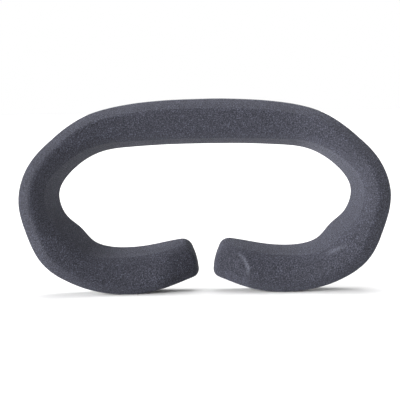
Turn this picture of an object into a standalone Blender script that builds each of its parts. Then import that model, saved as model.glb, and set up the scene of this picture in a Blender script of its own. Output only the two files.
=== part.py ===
"""Foam face pad for FPV goggles.

The pad is an open ring that seals a pair of goggles against the wearer's face. It is a moulded foam
core in a one-piece fabric cover, whose hem is turned in at the rear. A thin liner closes the rear, and
hook strips on the liner hold the pad in the goggles. It stands on its two lower lobes: X is across the
face, with the wearer's right at +X, the face side is -Y, the goggles side is +Y, and Z is up.

Every piece is a loft along the rim. A place on the rim is given by three lengths in millimetres: q runs
along the middle of the rim from the brow's centre, u runs across it from its outer side, and h stands
up from the rear surface towards the face.
"""

import math

import bmesh
import bpy
import numpy as np

MM = 0.001

# Layers
FABRIC = 0.8  # cover thickness
HEM = 3.2  # how far the hem is turned in at the rear
GAP = 0.3  # between neighbouring pieces
LINER = 1.0  # liner thickness
LINER_BORDER = 1.5  # liner edge to the rim's side
STRIP = 1.5  # hook strip thickness
STRIP_WIDTH = 11.0

# Rear surface: flat across the middle, with a wing each side that turns towards the face
REAR_Y = 14.5
FLAT_TO = 36.0
WING_FROM = 48.0
WING_SLOPE = math.tan(math.radians(10))

# Rim section
LIP_WIDTH, LIP_DROP = 3.0, 4.0  # facet between the face and the inner wall
OUTER_REAR, OUTER_EDGE, RIDGE, FACE_EDGE, INNER_EDGE, INNER_REAR = 0.8, 3.0, 2.0, 4.0, 3.0, 0.8
EDGE_RADII = (OUTER_REAR, OUTER_EDGE, RIDGE, FACE_EDGE, INNER_EDGE, INNER_REAR)

# Nose ends: a facet falls away to each end, which has round corners
NOSE_HEIGHT = 9.5
NOSE_SLOPE = math.tan(math.radians(37))
NOSE_BLEND = 1.5
END_OUTER_R, END_INNER_R, END_FRONT_R = 3.5, 4.5, 2.0

# Half of the rim, from the brow's centre to the nose end. A bevel joins the outer wall to the ridge.
STATIONS = (
    # outer x and z, inner x and z, ridge height, face edge height, inner wall's lean, bevel's drop and width
    (0.0, 91.0, 0.0, 69.6, 17.0, 14.5, 3.0, 7.0, 4.5),
    (19.3, 90.6, 18.2, 69.4, 17.3, 14.8, 3.0, 7.5, 4.5),
    (38.8, 88.6, 35.8, 68.5, 18.5, 16.0, 3.2, 8.0, 4.5),
    (55.9, 83.9, 48.7, 66.6, 20.5, 18.0, 3.8, 7.5, 4.5),
    (72.4, 71.9, 61.8, 58.8, 23.0, 20.5, 4.6, 6.3, 4.8),
    (83.1, 58.4, 68.7, 48.7, 25.0, 22.5, 5.5, 5.8, 5.5),
    (86.2, 44.2, 67.8, 41.0, 26.0, 23.3, 6.0, 6.0, 6.2),
    (82.9, 29.7, 64.4, 35.7, 26.0, 23.3, 6.0, 6.0, 6.3),
    (76.1, 15.9, 58.9, 30.9, 26.0, 23.0, 6.2, 5.6, 5.9),
    (63.2, 6.3, 53.2, 24.6, 25.5, 22.3, 5.5, 5.0, 5.3),
    (50.3, 1.6, 46.2, 21.8, 24.5, 21.0, 4.5, 4.7, 4.8),
    (38.0, 0.0, 39.0, 21.1, 23.5, 19.8, 4.0, 4.5, 4.5),
    (24.0, 1.3, 28.0, 21.9, 22.5, 18.8, 3.8, 4.5, 4.5),
    (11.7, 4.7, 16.8, 24.0, 22.0, 18.2, 3.4, 4.5, 4.5),
    (2.7, 7.6, 7.4, 25.7, 21.5, 17.7, 3.0, 4.5, 4.5),
)

# Hook strips: where each starts and ends along the rim
BROW_STRIP = (-32.0, 32.0)
SIDE_STRIPS = {"temple": (60.0, 96.0), "cheek": (107.0, 131.0), "nose": (154.0, 175.0)}
STRIP_CORNER = 2.0

# Mesh
RING_SPACING = 4.5
MIN_RING = 0.5
END_STEPS = 6  # rings round the corners at a piece's end
EDGE_STEPS = 2  # faces round an edge of the section
SHARP = math.radians(40)

# Looks: colour and roughness
FABRIC_LOOK = ((0.052, 0.053, 0.066), 0.95)
FOAM_LOOK = ((0.035, 0.035, 0.038), 0.9)
LINER_LOOK = ((0.018, 0.018, 0.02), 0.95)
HOOK_LOOK = ((0.012, 0.012, 0.013), 0.55)


def natural_spline(knots, values):
    """The smooth curve through values at knots, as a function of the knot length."""
    step = np.diff(knots)
    system = np.zeros((len(knots), len(knots)))
    right = np.zeros_like(values)
    system[0, 0] = system[-1, -1] = 1
    for i in range(1, len(knots) - 1):
        system[i, i - 1 : i + 2] = step[i - 1], 2 * (step[i - 1] + step[i]), step[i]
        right[i] = 6 * ((values[i + 1] - values[i]) / step[i] - (values[i] - values[i - 1]) / step[i - 1])
    bend = np.linalg.solve(system, right)

    def at(q):
        i = int(np.clip(np.searchsorted(knots, q) - 1, 0, len(step) - 1))
        a, b = (knots[i + 1] - q) / step[i], (q - knots[i]) / step[i]
        line = a * values[i] + b * values[i + 1]
        return line + ((a**3 - a) * bend[i] + (b**3 - b) * bend[i + 1]) * step[i] ** 2 / 6

    return at


def rim_spline():
    """The whole rim as one curve through the stations and their mirror images, and half its length."""
    half = np.array(STATIONS)
    mirrored = half[:0:-1] * (-1, 1, -1, 1, 1, 1, 1, 1, 1)
    whole = np.vstack([mirrored, half])
    middle = (whole[:, 0:2] + whole[:, 2:4]) / 2
    along = np.concatenate([[0], np.cumsum(np.linalg.norm(np.diff(middle, axis=0), axis=1))])
    along -= along[len(mirrored)]
    return natural_spline(along, whole), along[-1]


RIM, HALF_LENGTH = rim_spline()


def rear_y(x):
    """The rear surface's depth at x."""
    past_flat, past_bend = abs(x) - FLAT_TO, abs(x) - WING_FROM
    bend = WING_FROM - FLAT_TO
    if past_flat < 0:
        return REAR_Y
    if past_bend < 0:
        return REAR_Y - WING_SLOPE * past_flat**2 / (2 * bend)
    return REAR_Y - WING_SLOPE * (bend / 2 + past_bend)


def place(q, u, h):
    """The point in the part's frame at (q, u, h)."""
    outer, inner = RIM(q)[0:2], RIM(q)[2:4]
    x, z = outer + (inner - outer) * u / np.linalg.norm(inner - outer)
    return x * MM, (rear_y(x) - h) * MM, z * MM


def width_at(q):
    return float(np.linalg.norm(RIM(q)[2:4] - RIM(q)[0:2]))


def soft_min(a, b, blend):
    """The lower of a and b, with a rounded change from one to the other."""
    return (a + b - math.hypot(a - b, blend)) / 2


def corner_draw(radius, depth):
    """How far a round corner has drawn a side in, at this depth from the end."""
    if radius <= 0 or depth >= radius:
        return 0.0
    return radius - math.sqrt(radius**2 - (radius - max(depth, 0.0)) ** 2)


def rim_outline(q, inset=0.0):
    """The section's six corners (u, h), from the outer rear edge round the face to the inner rear edge."""
    depth = HALF_LENGTH - abs(q) - inset
    first = corner_draw(END_OUTER_R - inset, depth)
    last = width_at(q) - corner_draw(END_INNER_R - inset, depth)
    limit = NOSE_HEIGHT + NOSE_SLOPE * (HALF_LENGTH - abs(q))
    front = corner_draw(END_FRONT_R - inset, depth)
    ridge, face_edge = (soft_min(h, limit, NOSE_BLEND) - front for h in RIM(q)[4:6])
    lean, bevel_drop, bevel_width = RIM(q)[6:9]
    return [
        (first, 0.0),
        (first, ridge - bevel_drop),
        (first + bevel_width, ridge),
        (last - lean - LIP_WIDTH, face_edge),
        (last - lean, face_edge - LIP_DROP),
        (last, 0.0),
    ]


def inset_outline(outline, amount):
    """The outline with each of its sides moved in by this amount."""
    corners = np.array(outline)
    sides = np.roll(corners, -1, axis=0) - corners
    inward = np.stack([sides[:, 1], -sides[:, 0]], axis=1) / np.linalg.norm(sides, axis=1)[:, None]
    starts = corners + inward * amount
    moved = []
    for i in range(len(corners)):
        meet = np.linalg.solve(np.stack([sides[i - 1], -sides[i]], axis=1), starts[i] - starts[i - 1])
        moved.append(tuple(starts[i - 1] + sides[i - 1] * meet[0]))
    return moved


def rounded(outline, radii, steps):
    """The outline with its corners rounded, steps + 1 points to a corner."""
    points = [np.array(p) for p in outline]
    made = []
    for i, corner in enumerate(points):
        back, ahead = points[i - 1] - corner, points[(i + 1) % len(points)] - corner
        reach = 0.48 * min(np.linalg.norm(back), np.linalg.norm(ahead))
        back, ahead = back / np.linalg.norm(back), ahead / np.linalg.norm(ahead)
        half = math.acos(float(back @ ahead)) / 2
        tangent = min(max(radii[i], 0.2) / math.tan(half), reach)
        middle = (back + ahead) / np.linalg.norm(back + ahead)
        centre = corner + middle * tangent / math.cos(half)
        start, end = corner + back * tangent - centre, corner + ahead * tangent - centre
        turn = math.pi - 2 * half
        for k in range(steps + 1):
            share = k / steps
            arm = start * math.sin((1 - share) * turn) + end * math.sin(share * turn)
            made.append(centre + arm / math.sin(turn))
    return made


def ring_places(start, end, radius):
    """Places along the rim from start to end, which every piece shares, with more at its round corners."""
    steps = [radius * (1 - math.cos(math.pi / 2 * k / END_STEPS)) for k in range(END_STEPS + 1)]
    near = [start + s for s in steps]
    far = [end - s for s in reversed(steps)]
    grid = [RING_SPACING * k for k in range(-99, 100)]
    return [*near, *(q for q in grid if near[-1] + MIN_RING < q < far[0] - MIN_RING), *far]


def give_material(obj, colour, roughness):
    made = bpy.data.materials.new(obj.name)
    made.use_nodes = True
    shader = made.node_tree.nodes["Principled BSDF"]
    shader.inputs["Base Color"].default_value = (*colour, 1.0)
    shader.inputs["Roughness"].default_value = roughness
    shader.inputs["Metallic"].default_value = 0.0
    obj.data.materials.append(made)


def loft(name, sections):
    """An object whose surface joins the sections, each a list of points, and is closed at both ends."""
    mesh = bpy.data.meshes.new(name)
    build = bmesh.new()
    rings = [[build.verts.new(p) for p in section] for section in sections]
    build.faces.new(rings[0])
    build.faces.new(rings[-1])
    for k, pair in enumerate(zip(rings, rings[1:])):
        first, second = pair if k < len(rings) // 2 else reversed(pair)
        for i in range(len(first)):
            build.faces.new((first[i - 1], first[i], second[i]))
            build.faces.new((first[i - 1], second[i], second[i - 1]))
    bmesh.ops.recalc_face_normals(build, faces=build.faces)
    build.to_mesh(mesh)
    build.free()
    mesh.shade_smooth()
    mesh.set_sharp_from_angle(angle=SHARP)
    made = bpy.data.objects.new(name, mesh)
    bpy.context.scene.collection.objects.link(made)
    return made


def rim_solid(name, inset):
    """The rim's own shape, drawn in by inset on every side."""
    end = HALF_LENGTH - inset
    sections = []
    for q in ring_places(-end, end, END_INNER_R):
        outline = inset_outline(rim_outline(q, inset), inset)
        outline = rounded(outline, [radius - inset for radius in EDGE_RADII], EDGE_STEPS)
        sections.append([place(q, u, h) for u, h in outline])
    return loft(name, sections)


def band(name, ends, sides, heights, radius):
    """A flat band on the rear between two places along the rim. sides gives its two u from a width."""
    start, end = ends
    low, high = heights
    sections = []
    for q in ring_places(start, end, radius):
        draw = corner_draw(radius, min(q - start, end - q))
        first, last = sides(width_at(q))
        corners = [(first + draw, low), (first + draw, high), (last - draw, high), (last - draw, low)]
        sections.append([place(q, u, h) for u, h in corners])
    return loft(name, sections)


def rear_band(name, border, heights):
    """A band that covers the whole rear but for a border."""
    end = HALF_LENGTH - border
    return band(name, (-end, end), lambda width: (border, width - border), heights, END_OUTER_R)


def centre_band(name, ends, width, heights, radius):
    """A band of one width along the middle of the rim."""
    return band(name, ends, lambda rim: ((rim - width) / 2, (rim + width) / 2), heights, radius)


def combine(target, other, operation):
    """Cuts other from target, or joins it on, and hides it as a helper."""
    step = target.modifiers.new(other.name, "BOOLEAN")
    step.operation = operation
    step.object = other
    step.solver = "EXACT"
    other.hide_render = True
    other.display_type = "WIRE"


def make_cover():
    """The fabric: a shell whose hem is turned in round the opening at the rear."""
    cover = rim_solid("face_cover", 0.0)
    combine(cover, rim_solid("cover_hollow", FABRIC), "DIFFERENCE")
    combine(cover, rear_band("cover_opening", FABRIC + HEM, (-FABRIC, 2 * FABRIC)), "DIFFERENCE")
    give_material(cover, *FABRIC_LOOK)


def make_core():
    """The foam, with a raised back that fills the opening inside the hem."""
    inset = FABRIC + GAP
    core = rim_solid("foam_core", inset)
    combine(core, rear_band("core_back", FABRIC + HEM + GAP, (0.0, 2 * inset)), "UNION")
    give_material(core, *FOAM_LOOK)


def make_liner():
    """The thin backing that closes the rear."""
    liner = rear_band("rear_liner", LINER_BORDER, (-GAP - LINER, -GAP))
    give_material(liner, *LINER_LOOK)


def make_fasteners():
    """Hook strips along the middle of the rim: one at the brow, and three each side."""
    spans = {"brow_fastener": BROW_STRIP}
    for where, (start, end) in SIDE_STRIPS.items():
        spans[f"{where}_fastener_right"] = (start, end)
        spans[f"{where}_fastener_left"] = (-end, -start)
    top = -2 * GAP - LINER
    for name, span in spans.items():
        strip = centre_band(name, span, STRIP_WIDTH, (top - STRIP, top), STRIP_CORNER)
        give_material(strip, *HOOK_LOOK)


def main():
    for obj in list(bpy.data.objects):
        bpy.data.objects.remove(obj)
    make_cover()
    make_core()
    make_liner()
    make_fasteners()


main()
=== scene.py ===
import math
import random
from collections import namedtuple

import bmesh
import bpy
import numpy as np
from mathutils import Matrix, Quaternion, Vector, noise


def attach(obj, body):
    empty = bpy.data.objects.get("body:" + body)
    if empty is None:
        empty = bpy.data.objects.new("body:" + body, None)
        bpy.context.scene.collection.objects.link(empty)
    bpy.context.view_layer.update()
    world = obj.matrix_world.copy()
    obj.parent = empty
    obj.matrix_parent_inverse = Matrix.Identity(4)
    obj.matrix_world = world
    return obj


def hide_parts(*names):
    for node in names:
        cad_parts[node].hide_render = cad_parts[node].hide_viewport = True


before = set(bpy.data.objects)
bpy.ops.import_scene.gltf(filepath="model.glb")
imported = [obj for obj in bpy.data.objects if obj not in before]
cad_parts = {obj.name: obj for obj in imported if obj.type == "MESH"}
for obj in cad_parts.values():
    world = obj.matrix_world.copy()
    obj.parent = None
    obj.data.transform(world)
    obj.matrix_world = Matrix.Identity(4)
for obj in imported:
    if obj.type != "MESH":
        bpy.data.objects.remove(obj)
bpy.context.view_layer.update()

# The looks of a soft face pad for FPV goggles: a fabric cover over foam, a felt liner on its rear, and hook
# strips. Each visible piece is lofted afresh along the rim, finer than its CAD solid and in the same place. A
# place on the rim is given by three lengths in millimetres: q runs along the middle of the rim from the
# brow's centre, u runs across it from its outer side, and h stands up from the rear surface to the face.

MM = 0.001
BODY = "root"

# The rim, as in the CAD
REAR_Y = 14.5
FLAT_TO = 36.0
WING_FROM = 48.0
WING_SLOPE = math.tan(math.radians(10))
LIP_WIDTH, LIP_DROP = 3.0, 4.0
NOSE_HEIGHT = 9.5
NOSE_SLOPE = math.tan(math.radians(37))
NOSE_BLEND = 1.5
END_OUTER_R, END_INNER_R, END_FRONT_R = 3.5, 4.5, 2.0
STATIONS = (
    # outer x and z, inner x and z, ridge height, face edge height, inner wall's lean, bevel's drop and width
    (0.0, 91.0, 0.0, 69.6, 17.0, 14.5, 3.0, 7.0, 4.5),
    (19.3, 90.6, 18.2, 69.4, 17.3, 14.8, 3.0, 7.5, 4.5),
    (38.8, 88.6, 35.8, 68.5, 18.5, 16.0, 3.2, 8.0, 4.5),
    (55.9, 83.9, 48.7, 66.6, 20.5, 18.0, 3.8, 7.5, 4.5),
    (72.4, 71.9, 61.8, 58.8, 23.0, 20.5, 4.6, 6.3, 4.8),
    (83.1, 58.4, 68.7, 48.7, 25.0, 22.5, 5.5, 5.8, 5.5),
    (86.2, 44.2, 67.8, 41.0, 26.0, 23.3, 6.0, 6.0, 6.2),
    (82.9, 29.7, 64.4, 35.7, 26.0, 23.3, 6.0, 6.0, 6.3),
    (76.1, 15.9, 58.9, 30.9, 26.0, 23.0, 6.2, 5.6, 5.9),
    (63.2, 6.3, 53.2, 24.6, 25.5, 22.3, 5.5, 5.0, 5.3),
    (50.3, 1.6, 46.2, 21.8, 24.5, 21.0, 4.5, 4.7, 4.8),
    (38.0, 0.0, 39.0, 21.1, 23.5, 19.8, 4.0, 4.5, 4.5),
    (24.0, 1.3, 28.0, 21.9, 22.5, 18.8, 3.8, 4.5, 4.5),
    (11.7, 4.7, 16.8, 24.0, 22.0, 18.2, 3.4, 4.5, 4.5),
    (2.7, 7.6, 7.4, 25.7, 21.5, 17.7, 3.0, 4.5, 4.5),
)

# Layers
FABRIC = 0.8
HEM = 3.2
HEM_EDGE = FABRIC + HEM
GAP = 0.3
LINER = 1.0
LINER_BORDER = 1.5
LINER_EDGE_R = 0.35
TAPE = 0.5  # a hook strip's tape, without its hooks
TAPE_FRONT = -2 * GAP - LINER  # the height of the tape's face on the liner's side
TAPE_REAR = TAPE_FRONT - TAPE
TAPE_EDGE_R = 0.2
STRIP = 1.5
STRIP_WIDTH = 11.0
STRIP_CORNER = 2.0
BROW_STRIP = (-32.0, 32.0)  # where a strip starts and ends along the rim
SIDE_STRIPS = {"temple": (60.0, 96.0), "cheek": (107.0, 131.0), "nose": (154.0, 175.0)}

# Soft shape: radii in the order of the section's corners, and swellings in that of the sides between them
EDGE_RADII = (0.9, 3.2, None, 4.5, 3.5, 0.9)  # the ridge's own radius changes along the rim
RIDGE_RADIUS = (1.3, 2.2)  # crisp along the brow and soft on the lobes
RIDGE_CHANGE = (55.0, 85.0)  # it changes between these places
CORNER_REACH = 0.48  # the most of a side that one round corner takes up
CROWN = (0.15, 0.12, 0.35, 0.10, 0.15)  # how much each side swells
CROWN_SHARE = 0.03  # the most that a short side swells, as a share of its length
HEM_SHARE = 0.45  # the most of the rear's width that a hem takes up
END_DOME = 0.5
DIMPLES = ((26.0, 0.22), (7.0, 0.06))  # wavelength and depth of the foam's unevenness
SOFT_FROM, SOFT_RAMP = 1.0, 4.0  # the height where the unevenness starts, and how much higher it is full
CREASES = (
    # x and z of one end, of the other end, height and half width: soft folds at the edge of the right nose
    # facet, and one on the right lobe
    ((15.6, 18.4), (18.8, 15.3), 0.18, 0.7),
    ((18.0, 16.2), (20.4, 11.4), 0.34, 0.7),
    ((20.2, 12.8), (19.6, 8.4), 0.22, 0.7),
    ((56.4, 18.0), (66.8, 23.0), 0.18, 0.8),
)
CREASED_NORMAL = -0.5  # only what faces the wearer is creased

# How finely the meshes are divided
EDGE_STEPS = 7
SIDE_STEPS = (9, 6, 14, 3, 9)
HEM_STEPS = 3
REAR_STEPS = 6
RING_SPACING = 0.8
RING_CLEAR = 0.3  # the least from an evenly placed ring to the hem's round ends
SAME_PLACE = 0.01  # places that are closer than this are the same
END_RINGS = 9
CAP_RINGS = (0.93, 0.8, 0.62, 0.42, 0.2)  # the sizes of the rings that close an end
BAND_SPACING = 1.5
BAND_EDGE_STEPS = 3
BAND_SIDE_STEPS = 8

# Hooks
HOOK_PITCH = 1.25
HOOK_BORDER = 1.0
HOOK_OVERHANG = 0.2  # how far into the border a hook may stand
HOOK_WIRE = 0.085  # the wire's radius
HOOK_ROOT = 0.05  # how deep the wire stands in the tape
HOOK_BEND = 0.27
HOOK_BEND_STEP, HOOK_BEND_STEPS = 35, 6  # degrees at a time, and how many times
HOOK_SIDES = 5
HOOK_SEED = 11
HOOK_SHIFT = 0.08  # how far a hook may be off its even place, either way
HOOK_SPIN = 14  # how many degrees it may be turned, either way
HOOK_SHORTEST = 0.93  # the shortest one's height, as a share of the tallest's

# Camera and light, in millimetres and degrees where nothing else is said
CAMERA_TARGET = (0.0, 2.5, 45.3)
CAMERA_DISTANCE = 737.5
CAMERA_AZIMUTH, CAMERA_ELEVATION, CAMERA_ROLL = 1.1, 3.45, 1.05
CAMERA_AIM = (-2.17, -1.75)  # the pad's middle is right of and above the picture's, in mm
CAMERA_LENS = 140.8
CAMERA_SENSOR = 36.0
CAMERA_CLIP = (0.01, 50.0)  # in metres
FLOOR_REACH = 12.0  # in metres
ROOM_LIGHT, ROOM_SEEN = 0.48, 1.0  # how strongly the white room lights the pad, and how white it looks
SOFT_LIGHTS = (
    # name, azimuth from the camera's side, elevation, width in degrees, strength
    ("key", -45.0, 6.0, 35.0, 9.5),
    ("side", -88.0, 9.0, 40.0, 5.7),
    ("fill", 0.0, 5.0, 50.0, 0.8),
    ("top", 180.0, 76.0, 40.0, 1.75),
    ("far side", 95.0, 8.0, 40.0, 3.0),
)


# ---------------------------------------------------------------- the rim


def natural_spline(knots, values):
    """The smooth curve through values at knots, as a function of an array of lengths."""
    step = np.diff(knots)
    system = np.zeros((len(knots), len(knots)))
    right = np.zeros_like(values)
    system[0, 0] = system[-1, -1] = 1
    for i in range(1, len(knots) - 1):
        system[i, i - 1 : i + 2] = step[i - 1], 2 * (step[i - 1] + step[i]), step[i]
        right[i] = 6 * ((values[i + 1] - values[i]) / step[i] - (values[i] - values[i - 1]) / step[i - 1])
    bend = np.linalg.solve(system, right)

    def at(q):
        q = np.atleast_1d(np.asarray(q, float))
        i = np.clip(np.searchsorted(knots, q) - 1, 0, len(step) - 1)
        span = step[i][:, None]
        a = (knots[i + 1] - q)[:, None] / span
        b = (q - knots[i])[:, None] / span
        line = a * values[i] + b * values[i + 1]
        return line + ((a**3 - a) * bend[i] + (b**3 - b) * bend[i + 1]) * span**2 / 6

    return at


def rim_spline():
    """The whole rim as one curve through the stations and their mirror images, and half its length."""
    half = np.array(STATIONS)
    mirrored = half[:0:-1] * (-1, 1, -1, 1, 1, 1, 1, 1, 1)
    whole = np.vstack([mirrored, half])
    middle = (whole[:, 0:2] + whole[:, 2:4]) / 2
    along = np.concatenate([[0], np.cumsum(np.linalg.norm(np.diff(middle, axis=0), axis=1))])
    along -= along[len(mirrored)]
    return natural_spline(along, whole), along[-1]


RIM, HALF_LENGTH = rim_spline()


def rear_y(x):
    """The rear surface's depth at x: flat in the middle, a bend, then a straight wing."""
    bend = WING_FROM - FLAT_TO
    past_flat = np.clip(np.abs(x) - FLAT_TO, 0, bend)
    past_bend = np.clip(np.abs(x) - WING_FROM, 0, None)
    return REAR_Y - WING_SLOPE * (past_flat**2 / (2 * bend) + past_bend)


def place(q, u, h):
    """Points in the frame, in metres, from arrays of q, u and h."""
    rim = RIM(q)
    outer, across = rim[:, 0:2], rim[:, 2:4] - rim[:, 0:2]
    across = across / np.linalg.norm(across, axis=1)[:, None]
    xz = outer + across * np.atleast_1d(u)[:, None]
    return np.stack([xz[:, 0], rear_y(xz[:, 0]) - h, xz[:, 1]], axis=1) * MM


def width_at(q):
    """How wide the rim is at one place."""
    rim = RIM(q)[0]
    return float(np.linalg.norm(rim[2:4] - rim[0:2]))


def soft_min(a, b, blend):
    """The smaller of a and b, and a little less where they are nearly equal."""
    return (a + b - math.hypot(a - b, blend)) / 2


def corner_draw(radius, depth):
    """How far a round corner has drawn a side in, at this depth from the end."""
    if depth >= radius:
        return 0.0
    return radius - math.sqrt(radius**2 - (radius - max(depth, 0.0)) ** 2)


def rim_outline(q):
    """The section's six corners (u, h), from the outer rear edge round the face to the inner rear edge."""
    depth = HALF_LENGTH - abs(q)
    first = corner_draw(END_OUTER_R, depth)
    last = width_at(q) - corner_draw(END_INNER_R, depth)
    limit = NOSE_HEIGHT + NOSE_SLOPE * depth
    front = corner_draw(END_FRONT_R, depth)
    ridge, face_edge, lean, bevel_drop, bevel_width = RIM(q)[0][4:9]
    ridge, face_edge = (soft_min(h, limit, NOSE_BLEND) - front for h in (ridge, face_edge))
    return [
        (first, 0.0),
        (first, ridge - bevel_drop),
        (first + bevel_width, ridge),
        (last - lean - LIP_WIDTH, face_edge),
        (last - lean, face_edge - LIP_DROP),
        (last, 0.0),
    ]


def rounded_corners(outline, radii, steps):
    """The outline's corners rounded: one list of steps + 1 points to a corner."""
    points = [np.array(p) for p in outline]
    made = []
    for i, corner in enumerate(points):
        back, ahead = points[i - 1] - corner, points[(i + 1) % len(points)] - corner
        reach = CORNER_REACH * min(np.linalg.norm(back), np.linalg.norm(ahead))
        back, ahead = back / np.linalg.norm(back), ahead / np.linalg.norm(ahead)
        half = math.acos(float(back @ ahead)) / 2
        tangent = min(radii[i] / math.tan(half), reach)
        middle = (back + ahead) / np.linalg.norm(back + ahead)
        centre = corner + middle * tangent / math.cos(half)
        start, end = corner + back * tangent - centre, corner + ahead * tangent - centre
        turn = math.pi - 2 * half
        shares = np.linspace(0, 1, steps + 1)
        arms = [start * math.sin((1 - s) * turn) + end * math.sin(s * turn) for s in shares]
        made.append([centre + arm / math.sin(turn) for arm in arms])
    return made


def edge_radii(q):
    """The radii of the section's corners at one place."""
    softer = np.interp(abs(q), RIDGE_CHANGE, RIDGE_RADIUS)
    return [softer if radius is None else radius for radius in EDGE_RADII]


def swollen_side(start, end, steps, crown):
    """The points inside a side, which swells outwards at its middle: by crown, if it is long enough."""
    out = np.array((start[1] - end[1], end[0] - start[0]))
    length = np.linalg.norm(out)
    swell = out / max(length, 1e-6) * min(crown, CROWN_SHARE * length)
    shares = np.arange(1, steps) / steps
    return [start + (end - start) * s + swell * math.sin(math.pi * s) ** 2 for s in shares]


def end_depths(corner, count):
    """Distances from an end, closest together next to it, where a corner of this radius is round."""
    return [corner * (1 - math.cos(math.pi / 2 * k / END_RINGS)) for k in range(count)]


def even_places(start, end, corner, spacing):
    """Places along the rim from start to end, evenly spaced but for closer ones at round corners."""
    near = end_depths(corner, END_RINGS)
    count = max(2, math.ceil((end - start - 2 * corner) / spacing) + 1)
    middle = np.linspace(start + corner, end - corner, count)
    return [start + d for d in near] + list(middle) + [end - d for d in reversed(near)]


# ---------------------------------------------------------------- meshes


Ring = namedtuple("Ring", "q points verts spots")  # one section, made into vertices


def finish_mesh(name, build, material):
    """A piece from a bmesh, shaded smooth and material, riding on the pad's body."""
    bmesh.ops.recalc_face_normals(build, faces=build.faces)
    mesh = bpy.data.meshes.new(name)
    build.to_mesh(mesh)
    build.free()
    mesh.shade_smooth()
    mesh.materials.append(material)
    piece = bpy.data.objects.new(name, mesh)
    bpy.context.scene.collection.objects.link(piece)
    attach(piece, BODY)
    return piece


def add_ring(build, q, points):
    """A section's vertices at q, with their spots on the weave: lengths along the rim and round the section.

    The last spot is the first point's again, after one turn round the section.
    """
    points = np.array(points)
    verts = [build.verts.new(p) for p in place(np.full(len(points), q), points[:, 0], points[:, 1])]
    closed = np.vstack([points, points[:1]])
    turned = np.concatenate([[0], np.cumsum(np.linalg.norm(np.diff(closed, axis=0), axis=1))])
    return Ring(q, points, verts, [(q * MM, length * MM) for length in turned])


def join_rings(build, uv, first, second, skip=()):
    """Quads between two rings of as many points, except on the sides in skip."""
    count = len(first.verts)
    for i in range(count):
        if i in skip:
            continue
        after = (i + 1) % count
        face = build.faces.new((first.verts[i], first.verts[after], second.verts[after], second.verts[i]))
        spots = (first.spots[i], first.spots[i + 1], second.spots[i + 1], second.spots[i])
        for loop, spot in zip(face.loops, spots):
            loop[uv].uv = spot


def close_end(build, uv, ring, sign, dome):
    """Closes an end with rings that shrink to a point on a slight dome."""
    middle = (ring.points.min(axis=0) + ring.points.max(axis=0)) / 2
    last = ring
    for share in CAP_RINGS:
        q = ring.q + sign * dome * (1 - share**2)
        smaller = add_ring(build, q, middle + (ring.points - middle) * share)
        join_rings(build, uv, last, smaller)
        last = smaller
    tip = add_ring(build, ring.q + sign * dome, [middle]).verts[0]
    for i, vert in enumerate(last.verts):
        build.faces.new((vert, last.verts[(i + 1) % len(last.verts)], tip))


def loft(build, places, outline_at, dome=0.0, skip_at=None):
    """A closed skin through the outline at each place, but for the sides that skip_at leaves open."""
    uv = build.loops.layers.uv.new("weave")
    rings = [add_ring(build, q, outline_at(q)) for q in places]
    for before, after in zip(rings, rings[1:]):
        join_rings(build, uv, before, after, skip_at(before.q, after.q) if skip_at else ())
    close_end(build, uv, rings[0], -1, dome)
    close_end(build, uv, rings[-1], 1, dome)


# ---------------------------------------------------------------- the cover


def cover_outline(q):
    """The cover's section, from the outer rear edge round the face to the inner one and back over the hem.

    Between the hem's two strips it crosses the opening, where make_cover leaves its sides out.
    """
    outline = rim_outline(q)
    corners = rounded_corners(outline, edge_radii(q), EDGE_STEPS)
    draw = corner_draw(END_OUTER_R, HALF_LENGTH - HEM_EDGE - abs(q))
    made = []
    for corner, after, steps, crown in zip(corners, corners[1:], SIDE_STEPS, CROWN):
        made += corner
        made += swollen_side(corner[-1], after[0], steps, crown)
    made += corners[-1]
    first, last = outline[0][0], outline[-1][0]
    border = min(HEM_EDGE + draw, HEM_SHARE * (last - first))
    inner_hem, outer_hem = np.array((last - border, 0.0)), np.array((first + border, 0.0))
    made += swollen_side(corners[-1][-1], inner_hem, HEM_STEPS, 0.0)
    made.append(inner_hem)
    made += swollen_side(inner_hem, outer_hem, REAR_STEPS, 0.0)
    made.append(outer_hem)
    made += swollen_side(outer_hem, corners[0][0], HEM_STEPS, 0.0)
    return np.array(made)


def opening_sides():
    """The numbers of the sides that lie between the hem's two edges."""
    corner_points = len(EDGE_RADII) * (EDGE_STEPS + 1)
    side_points = sum(steps - 1 for steps in SIDE_STEPS)
    first = corner_points + side_points + HEM_STEPS - 1
    return range(first, first + REAR_STEPS)


def crease_height(x, z):
    """How far the creases raise the face at x and z, in millimetres."""
    raised = 0.0
    for (x0, z0), (x1, z1), height, half_width in CREASES:
        run, rise = x1 - x0, z1 - z0
        share = ((x - x0) * run + (z - z0) * rise) / (run**2 + rise**2)
        share = min(max(share, 0.0), 1.0)
        away = math.hypot(x - x0 - share * run, z - z0 - share * rise)
        raised += height * math.sin(math.pi * share) ** 0.5 * math.exp(-((away / half_width) ** 2))
    return raised


def dimple(piece):
    """The foam's unevenness and the creases, which fade out towards the rear and stay above the ground."""
    mesh = piece.data
    # Each vertex keeps how far the creases raise it, and the fabric paints a highlight there from it
    crease_highlight = mesh.attributes.new("crease", "FLOAT", "POINT")
    for vert, normal in zip(mesh.vertices, [v.normal.copy() for v in mesh.vertices]):
        height = rear_y(vert.co.x / MM) - vert.co.y / MM
        hold = min(max((height - SOFT_FROM) / SOFT_RAMP, 0.0), 1.0)
        if hold:
            depth = sum(deep * noise.noise(vert.co / (wave * MM)) for wave, deep in DIMPLES)
            if normal.y < CREASED_NORMAL:
                raised = crease_height(vert.co.x / MM, vert.co.z / MM)
                crease_highlight.data[vert.index].value = raised
                depth += raised
            vert.co += normal * depth * hold * MM
        vert.co.z = max(vert.co.z, 0.0)


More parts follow.
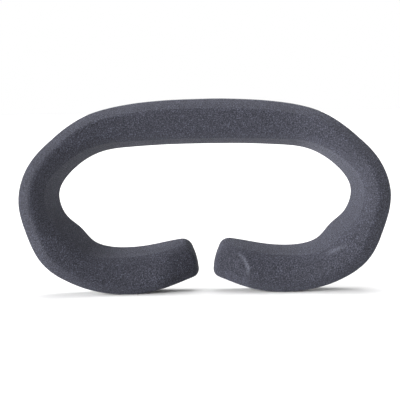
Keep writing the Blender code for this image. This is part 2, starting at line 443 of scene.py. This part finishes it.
def cover_places():
    """Where the cover's rings are: at the hem's round ends, and evenly everywhere else."""
    end = HALF_LENGTH - HEM_EDGE
    places = even_places(-HALF_LENGTH, HALF_LENGTH, END_INNER_R, RING_SPACING)
    inside = [q for q in places if abs(q) < end - END_OUTER_R - RING_CLEAR]
    outside = [q for q in places if abs(q) > end + RING_CLEAR]
    hem_ends = [side * (end - d) for d in end_depths(END_OUTER_R, END_RINGS + 1) for side in (-1, 1)]
    return sorted(inside + outside + hem_ends)


def make_cover():
    """One skin of fabric with its hem turned in at the rear, thickened inwards."""
    build = bmesh.new()
    opened = set(opening_sides())
    opening_end = HALF_LENGTH - HEM_EDGE + SAME_PLACE

    def skip_at(before, after):
        return opened if max(abs(before), abs(after)) < opening_end else ()

    loft(build, cover_places(), cover_outline, END_DOME, skip_at)
    piece = finish_mesh("cover_fabric", build, fabric_material())
    dimple(piece)
    cloth = piece.modifiers.new("fabric thickness", "SOLIDIFY")
    cloth.thickness = FABRIC * MM
    cloth.offset = -1.0
    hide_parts("face_cover")


def show_foam():
    """The foam stays as the CAD has it, since the cover hides it, and gets a material of its own."""
    core = bpy.data.objects["foam_core"]
    core.data.materials.clear()
    core.data.materials.append(foam_material())


# ---------------------------------------------------------------- the rear


def band_outline(sides, ends, heights, edge_radius, corner):
    """A function that gives the section of a thin band with round edges, at each place along the rim."""
    start, end = ends
    low, high = heights

    def at(q):
        draw = corner_draw(corner, min(q - start, end - q))
        first, last = sides(width_at(q))
        box = [(first + draw, low), (first + draw, high), (last - draw, high), (last - draw, low)]
        corners = rounded_corners(box, [edge_radius] * 4, BAND_EDGE_STEPS)
        made = []
        for i in range(4):
            made += corners[i]
            if i % 2:
                made += swollen_side(corners[i][-1], corners[(i + 1) % 4][0], BAND_SIDE_STEPS, 0.0)
        return np.array(made)

    return at


def make_band(name, material, sides, ends, heights, edge_radius, corner):
    """A thin band on the rear: sides gives its two edges across the rim, and ends are its places along it."""
    build = bmesh.new()
    outline = band_outline(sides, ends, heights, edge_radius, corner)
    loft(build, even_places(*ends, corner, BAND_SPACING), outline)
    return finish_mesh(name, build, material)


def make_liner():
    """The felt that closes the rear, inside the cover's outline."""
    end = HALF_LENGTH - LINER_BORDER
    liner = make_band(
        "liner_felt",
        felt_material(),
        sides=lambda width: (LINER_BORDER, width - LINER_BORDER),
        ends=(-end, end),
        heights=(-GAP - LINER, -GAP),
        edge_radius=LINER_EDGE_R,
        corner=END_OUTER_R,
    )
    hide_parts("rear_liner")


def hook_path():
    """The middle line of one hook, (along, up), from its root to its tip."""
    straight = STRIP - TAPE - HOOK_BEND - HOOK_WIRE
    path = [(0.0, -HOOK_ROOT), (0.0, straight / 2), (0.0, straight)]
    for k in range(1, HOOK_BEND_STEPS + 1):
        turn = math.radians(HOOK_BEND_STEP * k)
        path.append((HOOK_BEND * (1 - math.cos(turn)), straight + HOOK_BEND * math.sin(turn)))
    return np.array(path)


def hook_tube():
    """One hook's rings of points, (along, across, up), for each point on its path."""
    path = hook_path()
    heading = np.gradient(path, axis=0)
    heading /= np.linalg.norm(heading, axis=1)[:, None]
    turns = 2 * math.pi * np.arange(HOOK_SIDES) / HOOK_SIDES
    rings = []
    for (along, up), (ahead, rise) in zip(path, heading):
        out = HOOK_WIRE * np.cos(turns)
        rings.append(np.stack([along + out * rise, HOOK_WIRE * np.sin(turns), up - out * ahead], axis=1))
    return np.array(rings)


def add_hooks(build, ends, draws):
    """Rows of hooks that stand on a strip's tape and bend alternately towards each end of it."""
    hook = hook_tube()
    along, beside, up = (hook[..., k].ravel() for k in range(3))
    start, end = ends
    rows = int((end - start - 2 * HOOK_BORDER) / HOOK_PITCH)
    lanes = int((STRIP_WIDTH - 2 * HOOK_BORDER) / HOOK_PITCH) + 1
    for row in range(rows + 1):
        q = (start + end) / 2 + (row - rows / 2) * HOOK_PITCH
        edge = STRIP_WIDTH / 2 - HOOK_BORDER - corner_draw(STRIP_CORNER, min(q - start, end - q))
        for lane in range(lanes):
            across = (lane - (lanes - 1) / 2) * HOOK_PITCH + draws.uniform(-HOOK_SHIFT, HOOK_SHIFT)
            if abs(across) > edge + HOOK_OVERHANG:
                continue
            side = 1 if lane % 2 else -1
            spin = math.radians(draws.uniform(-HOOK_SPIN, HOOK_SPIN))
            tall = draws.uniform(HOOK_SHORTEST, 1.0)
            dq = side * (along * math.cos(spin) - beside * math.sin(spin))
            dq += draws.uniform(-HOOK_SHIFT, HOOK_SHIFT) - side * HOOK_BEND
            du = side * (along * math.sin(spin) + beside * math.cos(spin))
            points = place(q + dq, width_at(q) / 2 + across + du, TAPE_REAR - up * tall)
            add_tube(build, points.reshape(hook.shape))


def add_tube(build, rings):
    """A closed tube through rings of points."""
    made = [[build.verts.new(p) for p in ring] for ring in rings]
    count = len(made[0])
    for before, after in zip(made, made[1:]):
        for i in range(count):
            build.faces.new((before[i], before[(i + 1) % count], after[(i + 1) % count], after[i]))
    build.faces.new(made[0])
    build.faces.new(made[-1])


def make_fasteners():
    """The seven hook strips: a tape each, and the hooks that stand on it."""
    spans = {"brow_fastener": BROW_STRIP}
    for where, (start, end) in SIDE_STRIPS.items():
        spans[f"{where}_fastener_right"] = (start, end)
        spans[f"{where}_fastener_left"] = (-end, -start)
    tape, nylon = tape_material(), nylon_material()
    draws = random.Random(HOOK_SEED)
    for node, ends in spans.items():
        strip = make_band(
            node.replace("fastener", "hook_tape"),
            tape,
            sides=lambda width: ((width - STRIP_WIDTH) / 2, (width + STRIP_WIDTH) / 2),
            ends=ends,
            heights=(TAPE_REAR, TAPE_FRONT),
            edge_radius=TAPE_EDGE_R,
            corner=STRIP_CORNER,
        )
        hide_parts(node)
        build = bmesh.new()
        add_hooks(build, ends, draws)
        finish_mesh(node.replace("fastener", "hooks"), build, nylon)


# ---------------------------------------------------------------- materials


class Nodes:
    """A material's node tree, with short calls for the nodes that these materials use."""

    def __init__(self, name):
        self.material = bpy.data.materials.new(name)
        self.material.use_nodes = True
        self.tree = self.material.node_tree
        self.shader = self.tree.nodes["Principled BSDF"]

    def add(self, kind, inputs=None, **settings):
        node = self.tree.nodes.new(kind)
        for key, value in settings.items():
            setattr(node, key, value)
        for key, value in (inputs or {}).items():
            self.put(value, node.inputs[key])
        return node

    def put(self, value, socket):
        if isinstance(value, bpy.types.NodeSocket):
            self.tree.links.new(value, socket)
        else:
            socket.default_value = value

    def spot(self):
        """The place on the piece, in metres."""
        return self.add("ShaderNodeTexCoord").outputs["Object"]

    def noise(self, scale, detail=2.0, rough=0.5, vector=None):
        inputs = {"Scale": scale, "Detail": detail, "Roughness": rough, "Vector": vector or self.spot()}
        return self.add("ShaderNodeTexNoise", inputs).outputs["Fac"]

    def ribs(self, direction, scale, distortion, detail_scale=1.0):
        """Close ribs that follow each other along the weave's X (the rim) or Y (round the section)."""
        inputs = {"Scale": scale, "Distortion": distortion, "Detail": 1.0, "Detail Scale": detail_scale}
        inputs["Vector"] = self.add("ShaderNodeUVMap", uv_map="weave").outputs["UV"]
        return self.add("ShaderNodeTexWave", inputs, bands_direction=direction).outputs["Fac"]

    def spread(self, value, low, high, to_low=0.0, to_high=1.0):
        inputs = {"Value": value, "From Min": low, "From Max": high, "To Min": to_low, "To Max": to_high}
        return self.add("ShaderNodeMapRange", inputs).outputs["Result"]

    def math(self, operation, a, b):
        return self.add("ShaderNodeMath", {0: a, 1: b}, operation=operation).outputs[0]

    def mix(self, share, a, b):
        node = self.add("ShaderNodeMix", data_type="RGBA")
        for socket, value in ((node.inputs[0], share), (node.inputs[6], a), (node.inputs[7], b)):
            self.put(value, socket)
        return node.outputs[2]

    def bump(self, height, strength, distance):
        inputs = {"Strength": strength, "Distance": distance, "Height": height}
        return self.add("ShaderNodeBump", inputs).outputs["Normal"]

    def finish(self, **sockets):
        """The material, with its shader's sockets set: an underscore stands for a space in their names."""
        for key, value in sockets.items():
            self.put(value, self.shader.inputs[key.replace("_", " ")])
        return self.material


def linear(red, green, blue):
    """An opaque colour from its linear parts."""
    return (red, green, blue, 1.0)


def fabric_material():
    """Brushed knit bonded to the foam: a fine nap over close rows of stitches, with a painted highlight along
    the creases.
    """
    m = Nodes("cover fabric")
    spot = m.spot()
    valley, tip = linear(0.0027, 0.0027, 0.0040), linear(0.0300, 0.0311, 0.0436)
    fleck, patch = linear(0.107, 0.111, 0.151), linear(0.0182, 0.0187, 0.0249)
    # The palest colour is a painted highlight for the creases
    crease_highlight = linear(0.211, 0.218, 0.267)
    nap = m.noise(scale=1500, detail=4.0, rough=0.7, vector=spot)
    flecks = m.spread(m.noise(scale=2250, vector=spot), 0.5, 0.7, to_high=0.6)
    patches = m.spread(m.noise(scale=55, detail=3.0, vector=spot), 0.3, 0.7, to_high=0.25)
    # Each vertex's crease height sets where the painted highlight lies, broken up by the nap
    crease = m.add("ShaderNodeAttribute", attribute_name="crease").outputs["Fac"]
    crease_highlight_share = m.math("MULTIPLY", crease, m.spread(nap, 0.35, 0.65, to_low=0.3, to_high=1.3))
    colour = m.mix(m.spread(nap, 0.3, 0.7), valley, tip)
    for share, other in ((flecks, fleck), (patches, patch), (crease_highlight_share, crease_highlight)):
        colour = m.mix(share, colour, other)
    stitches = m.math("MULTIPLY", m.ribs("X", 260.0, 3.0, 2.0), 0.18)
    return m.finish(
        Base_Color=colour,
        Roughness=m.spread(nap, 0.3, 0.7, to_low=0.98, to_high=0.82),
        Normal=m.bump(m.math("ADD", nap, stitches), strength=0.75, distance=0.00035),
        Diffuse_Roughness=1.0,
        Sheen_Weight=0.062,
        Sheen_Roughness=0.4,
        Sheen_Tint=linear(0.84, 0.86, 1.0),
        Specular_IOR_Level=0.22,
    )


def foam_material():
    """Open-cell foam: small round cells with pale walls."""
    m = Nodes("foam")
    cells = m.add("ShaderNodeTexVoronoi", {"Scale": 1100.0, "Vector": m.spot()}).outputs["Distance"]
    hollow, wall = linear(0.016, 0.016, 0.018), linear(0.052, 0.052, 0.057)
    return m.finish(
        Base_Color=m.mix(m.spread(cells, 0.1, 0.6), hollow, wall),
        Roughness=m.spread(m.noise(scale=400), 0.3, 0.7, to_low=0.85, to_high=0.97),
        Normal=m.bump(cells, strength=0.8, distance=0.0004),
        Specular_IOR_Level=0.3,
    )


def felt_material():
    """Thin non-woven felt: short fibres that cross at all angles."""
    m = Nodes("liner felt")
    spot = m.spot()
    shadow, fibre = linear(0.008, 0.008, 0.009), linear(0.036, 0.036, 0.040)
    mottle = linear(0.024, 0.024, 0.027)
    bent = m.add("ShaderNodeTexNoise", {"Scale": 300.0, "Detail": 2.0, "Vector": spot}).outputs["Color"]
    shift = m.add("ShaderNodeVectorMath", {0: bent, "Scale": 0.004}, operation="SCALE").outputs[0]
    moved = m.add("ShaderNodeVectorMath", {0: spot, 1: shift}, operation="ADD").outputs[0]
    fibres = m.noise(scale=1900, detail=6.0, rough=0.75, vector=moved)
    mottles = m.spread(m.noise(scale=120, vector=spot), 0.3, 0.7, to_high=0.35)
    return m.finish(
        Base_Color=m.mix(mottles, m.mix(m.spread(fibres, 0.35, 0.7), shadow, fibre), mottle),
        Roughness=m.spread(fibres, 0.3, 0.7, to_low=0.98, to_high=0.85),
        Normal=m.bump(fibres, strength=0.9, distance=0.0005),
        Sheen_Weight=0.25,
        Sheen_Roughness=0.5,
        Specular_IOR_Level=0.2,
    )


def tape_material():
    """Woven nylon tape: warp and weft in close ribs."""
    m = Nodes("hook tape")
    weave = m.math("MULTIPLY", m.ribs("Y", 330.0, 0.6), m.ribs("X", 280.0, 0.6))
    return m.finish(
        Base_Color=m.mix(weave, linear(0.006, 0.006, 0.007), linear(0.026, 0.026, 0.029)),
        Roughness=m.spread(weave, 0.0, 1.0, to_low=0.75, to_high=0.5),
        Normal=m.bump(weave, strength=0.8, distance=0.00025),
        Specular_IOR_Level=0.4,
    )


def nylon_material():
    """Drawn nylon: smooth and slightly glossy."""
    m = Nodes("hook nylon")
    tone = m.noise(scale=700, detail=1.0)
    return m.finish(
        Base_Color=m.mix(tone, linear(0.010, 0.010, 0.011), linear(0.026, 0.026, 0.029)),
        Roughness=m.spread(tone, 0.3, 0.7, to_low=0.28, to_high=0.42),
        Normal=m.bump(m.noise(scale=3000, detail=1.0), strength=0.15, distance=0.00005),
        Specular_IOR_Level=0.5,
    )


def floor_material():
    """Plain white board, very slightly uneven in tone."""
    m = Nodes("floor")
    return m.finish(
        Base_Color=m.mix(m.noise(scale=9), linear(0.82, 0.82, 0.82), linear(0.84, 0.84, 0.84)),
        Roughness=0.9,
        Specular_IOR_Level=0.1,
    )


# ---------------------------------------------------------------- stage


def make_floor():
    """The white ground that the pad stands on, which isn't part of it."""
    mesh = bpy.data.meshes.new("floor")
    build = bmesh.new()
    bmesh.ops.create_grid(build, x_segments=1, y_segments=1, size=FLOOR_REACH)
    build.to_mesh(mesh)
    build.free()
    mesh.materials.append(floor_material())
    floor = bpy.data.objects.new("floor", mesh)
    bpy.context.scene.collection.objects.link(floor)


def from_direction(azimuth, elevation):
    """The unit vector at these angles: azimuth 0 is towards the camera's side, and minus is its left."""
    azimuth, elevation = math.radians(azimuth), math.radians(elevation)
    flat = math.cos(elevation)
    return Vector((math.sin(azimuth) * flat, -math.cos(azimuth) * flat, math.sin(elevation)))


def soft_light(name, azimuth, elevation, angle, strength):
    """A large far softbox: a sun whose disc is angle degrees wide."""
    light = bpy.data.lights.new(name, "SUN")
    light.angle = math.radians(angle)
    light.energy = strength
    lamp = bpy.data.objects.new(name, light)
    bpy.context.scene.collection.objects.link(lamp)
    lamp.rotation_mode = "QUATERNION"
    lamp.rotation_quaternion = from_direction(azimuth, elevation).to_track_quat("Z", "Y")


def make_room():
    """The white room all round, which looks whiter than it lights the pad."""
    world = bpy.data.worlds.new("white room")
    world.use_nodes = True
    tree = world.node_tree
    seen = tree.nodes.new("ShaderNodeLightPath").outputs["Is Camera Ray"]
    strength = tree.nodes.new("ShaderNodeMapRange")
    strength.inputs["To Min"].default_value = ROOM_LIGHT
    strength.inputs["To Max"].default_value = ROOM_SEEN
    tree.links.new(seen, strength.inputs["Value"])
    background = tree.nodes["Background"]
    background.inputs["Color"].default_value = linear(1.0, 1.0, 1.0)
    tree.links.new(strength.outputs["Result"], background.inputs["Strength"])
    bpy.context.scene.world = world
    bpy.context.scene.view_settings.view_transform = "Standard"


def make_camera():
    """A long lens near the face's axis, aimed beside the pad's middle and rolled a little."""
    camera = bpy.data.objects.new("camera", bpy.data.cameras.new("camera"))
    bpy.context.scene.collection.objects.link(camera)
    camera.data.lens = CAMERA_LENS
    camera.data.sensor_width = CAMERA_SENSOR
    camera.data.clip_start, camera.data.clip_end = CAMERA_CLIP
    azimuth = math.radians(CAMERA_AZIMUTH)
    right = Vector((math.cos(azimuth), math.sin(azimuth), 0.0))
    back = from_direction(CAMERA_AZIMUTH, CAMERA_ELEVATION)
    up = back.cross(right)
    ahead = right * CAMERA_AIM[0] + up * CAMERA_AIM[1] - back * CAMERA_DISTANCE
    camera.location = (Vector(CAMERA_TARGET) + back * CAMERA_DISTANCE) * MM
    camera.rotation_mode = "QUATERNION"
    roll = Quaternion(ahead.normalized(), math.radians(CAMERA_ROLL))
    camera.rotation_quaternion = roll @ ahead.to_track_quat("-Z", "Y")
    bpy.context.scene.camera = camera


make_cover()
make_liner()
make_fasteners()
show_foam()
make_floor()
make_room()
for light in SOFT_LIGHTS:
    soft_light(*light)
make_camera()
